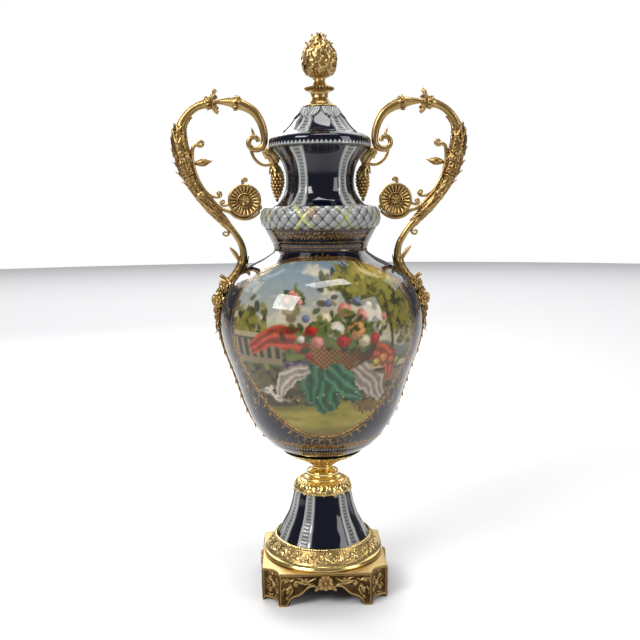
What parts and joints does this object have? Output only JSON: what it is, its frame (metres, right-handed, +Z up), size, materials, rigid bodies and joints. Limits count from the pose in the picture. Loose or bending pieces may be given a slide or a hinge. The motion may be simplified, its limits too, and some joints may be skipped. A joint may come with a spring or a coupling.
{
  "type": "mantel urn",
  "caption": "Tall covered porcelain mantel urn in cobalt and white with a painted medallion, gilt bronze scroll handles, leafy finial and a footed square plinth.",
  "frame": {"origin": "middle of the underside, level with the four feet", "axes": "+Z up, the painted front faces -Y, the handles are on the X axis"},
  "size_m": [0.4734, 0.329, 0.9],
  "materials": {
    "cobalt_porcelain": "deep cobalt glaze, near black, with white ribs, gilt scrolls and a painted oval medallion",
    "gilt_bronze": "cast and chased gilt bronze, worn bright on the high parts and brown in the hollows"
  },
  "bodies": {
    "root": {"plinth": "gilt_bronze", "foot_ring": "gilt_bronze", "foot": "cobalt_porcelain", "stem": "gilt_bronze", "body_cup": "gilt_bronze", "body": "cobalt_porcelain", "neck": "cobalt_porcelain", "lid": "cobalt_porcelain", "finial": "gilt_bronze", "left_handle": "gilt_bronze", "right_handle": "gilt_bronze"}
  },
  "joints": []
}
